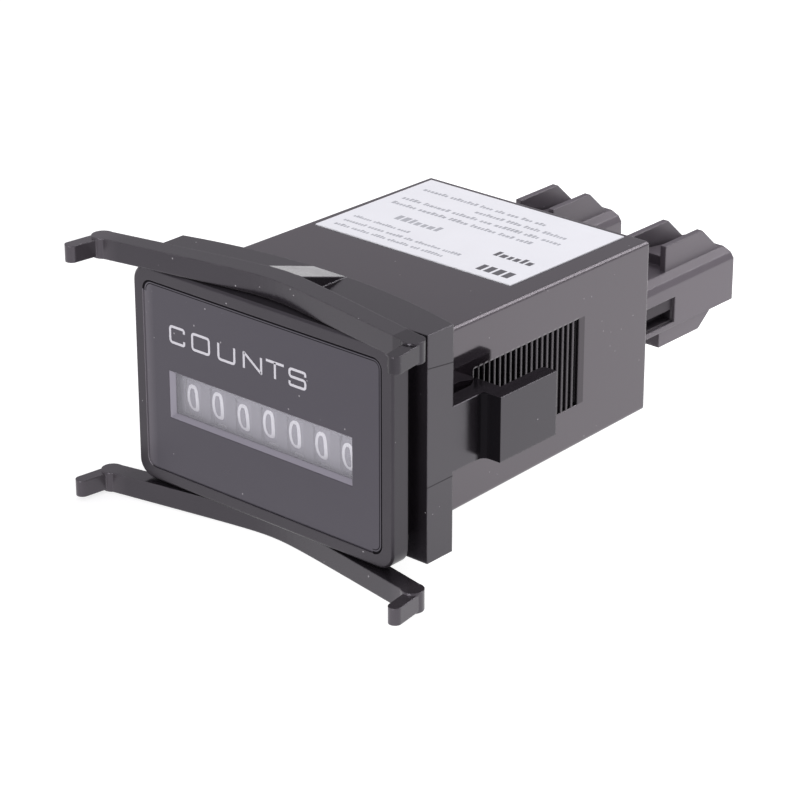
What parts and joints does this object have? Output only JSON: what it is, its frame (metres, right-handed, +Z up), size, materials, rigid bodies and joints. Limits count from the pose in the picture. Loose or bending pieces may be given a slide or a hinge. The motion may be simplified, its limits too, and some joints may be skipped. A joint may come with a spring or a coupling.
{
  "type": "panel counter",
  "caption": "Snap-in electromechanical panel counter: framed number window, box case with ratchet mounting clip and push-on rear terminals.",
  "frame": {"origin": "middle of the bezel's rear face, in the panel's front plane", "axes": "+X right seen from the front, +Y into the panel, +Z up"},
  "size_m": [0.0458, 0.0713, 0.0292],
  "materials": {
    "bezel_plastic": "satin moulded",
    "face_plastic": "satin printed",
    "lens_clear": "clear",
    "case_plastic": "glossy moulded",
    "clip_plastic": "glossy moulded",
    "label_film": "matt film",
    "wheel_plastic": "satin",
    "pinion_plastic": "natural",
    "frame_plastic": "natural",
    "steel": "ground",
    "copper_wire": "enamelled",
    "spring_bronze": "rolled",
    "board": "coated",
    "component_black": "moulded",
    "component_blue": "dipped",
    "blade_brass": "tinned",
    "plug_plastic": "satin moulded"
  },
  "bodies": {
    "housing": {"bezel": "bezel_plastic", "face_plate": "face_plastic", "lens": "lens_clear", "case": "case_plastic", "label_sheet": "label_film", "wheel_shaft": "steel", "pinion_shaft": "steel", "mechanism_frame": "frame_plastic", "coil_bobbin": "pinion_plastic", "coil_winding": "copper_wire", "coil_core": "steel", "coil_yoke": "steel", "armature_pin": "steel", "return_spring": "spring_bronze", "circuit_board": "board", "bridge_rectifier": "component_black", "suppressor": "component_blue", "blade_terminal_left": "blade_brass", "blade_terminal_right": "blade_brass", "receptacle_left": "blade_brass", "receptacle_right": "blade_brass", "plug_housing_left": "plug_plastic", "plug_housing_right": "plug_plastic"},
    "clip": {"mounting_clip": "clip_plastic"},
    "armature": {"armature": "steel", "anchor_lever": "pinion_plastic"},
    "wheel_1": {"number_wheel_1": "wheel_plastic"},
    "wheel_2": {"number_wheel_2": "wheel_plastic"},
    "wheel_3": {"number_wheel_3": "wheel_plastic"},
    "wheel_4": {"number_wheel_4": "wheel_plastic"},
    "wheel_5": {"number_wheel_5": "wheel_plastic"},
    "wheel_6": {"number_wheel_6": "wheel_plastic"},
    "wheel_7": {"number_wheel_7": "wheel_plastic"},
    "pinion_1": {"transfer_pinion_1": "pinion_plastic"},
    "pinion_2": {"transfer_pinion_2": "pinion_plastic"},
    "pinion_3": {"transfer_pinion_3": "pinion_plastic"},
    "pinion_4": {"transfer_pinion_4": "pinion_plastic"},
    "pinion_5": {"transfer_pinion_5": "pinion_plastic"},
    "pinion_6": {"transfer_pinion_6": "pinion_plastic"}
  },
  "joints": [
    {"name": "clip_slide", "type": "slide", "parent": "housing", "child": "clip", "axis": [0, 1, 0], "range_m": [0, 0.01584]},
    {"name": "units_turn", "type": "hinge", "parent": "housing", "child": "wheel_7", "pos_m": [0, 0.006, -0.0018], "axis": [1, 0, 0], "continuous": true},
    {"name": "wheel_6_turn", "type": "hinge", "parent": "housing", "child": "wheel_6", "pos_m": [0, 0.006, -0.0018], "axis": [1, 0, 0], "continuous": true},
    {"name": "wheel_5_turn", "type": "hinge", "parent": "housing", "child": "wheel_5", "pos_m": [0, 0.006, -0.0018], "axis": [1, 0, 0], "continuous": true},
    {"name": "wheel_4_turn", "type": "hinge", "parent": "housing", "child": "wheel_4", "pos_m": [0, 0.006, -0.0018], "axis": [1, 0, 0], "continuous": true},
    {"name": "wheel_3_turn", "type": "hinge", "parent": "housing", "child": "wheel_3", "pos_m": [0, 0.006, -0.0018], "axis": [1, 0, 0], "continuous": true},
    {"name": "wheel_2_turn", "type": "hinge", "parent": "housing", "child": "wheel_2", "pos_m": [0, 0.006, -0.0018], "axis": [1, 0, 0], "continuous": true},
    {"name": "wheel_1_turn", "type": "hinge", "parent": "housing", "child": "wheel_1", "pos_m": [0, 0.006, -0.0018], "axis": [1, 0, 0], "continuous": true},
    {"name": "pinion_6_turn", "type": "hinge", "parent": "housing", "child": "pinion_6", "pos_m": [0, 0.00995, 0.00504], "axis": [1, 0, 0], "continuous": true},
    {"name": "pinion_5_turn", "type": "hinge", "parent": "housing", "child": "pinion_5", "pos_m": [0, 0.00995, 0.00504], "axis": [1, 0, 0], "continuous": true},
    {"name": "pinion_4_turn", "type": "hinge", "parent": "housing", "child": "pinion_4", "pos_m": [0, 0.00995, 0.00504], "axis": [1, 0, 0], "continuous": true},
    {"name": "pinion_3_turn", "type": "hinge", "parent": "housing", "child": "pinion_3", "pos_m": [0, 0.00995, 0.00504], "axis": [1, 0, 0], "continuous": true},
    {"name": "pinion_2_turn", "type": "hinge", "parent": "housing", "child": "pinion_2", "pos_m": [0, 0.00995, 0.00504], "axis": [1, 0, 0], "continuous": true},
    {"name": "pinion_1_turn", "type": "hinge", "parent": "housing", "child": "pinion_1", "pos_m": [0, 0.00995, 0.00504], "axis": [1, 0, 0], "continuous": true},
    {"name": "armature_swing", "type": "hinge", "parent": "housing", "child": "armature", "pos_m": [0, 0.015, -0.0065], "axis": [-1, 0, 0], "range_deg": [0, 3], "stiffness_Nm_per_rad": 0.01, "springref_deg": -2.86, "deforming": ["return_spring"]}
  ],
  "couplings": [
    {"joint": "wheel_6_turn", "follows": "units_turn", "ratio": 0.1},
    {"joint": "wheel_5_turn", "follows": "units_turn", "ratio": 0.01},
    {"joint": "wheel_4_turn", "follows": "units_turn", "ratio": 0.001},
    {"joint": "wheel_3_turn", "follows": "units_turn", "ratio": 0.0001},
    {"joint": "wheel_2_turn", "follows": "units_turn", "ratio": 0.00001},
    {"joint": "wheel_1_turn", "follows": "units_turn", "ratio": 0.000001},
    {"joint": "pinion_6_turn", "follows": "units_turn", "ratio": -0.25},
    {"joint": "pinion_5_turn", "follows": "units_turn", "ratio": -0.025},
    {"joint": "pinion_4_turn", "follows": "units_turn", "ratio": -0.0025},
    {"joint": "pinion_3_turn", "follows": "units_turn", "ratio": -0.00025},
    {"joint": "pinion_2_turn", "follows": "units_turn", "ratio": -0.000025},
    {"joint": "pinion_1_turn", "follows": "units_turn", "ratio": -0.0000025}
  ]
}
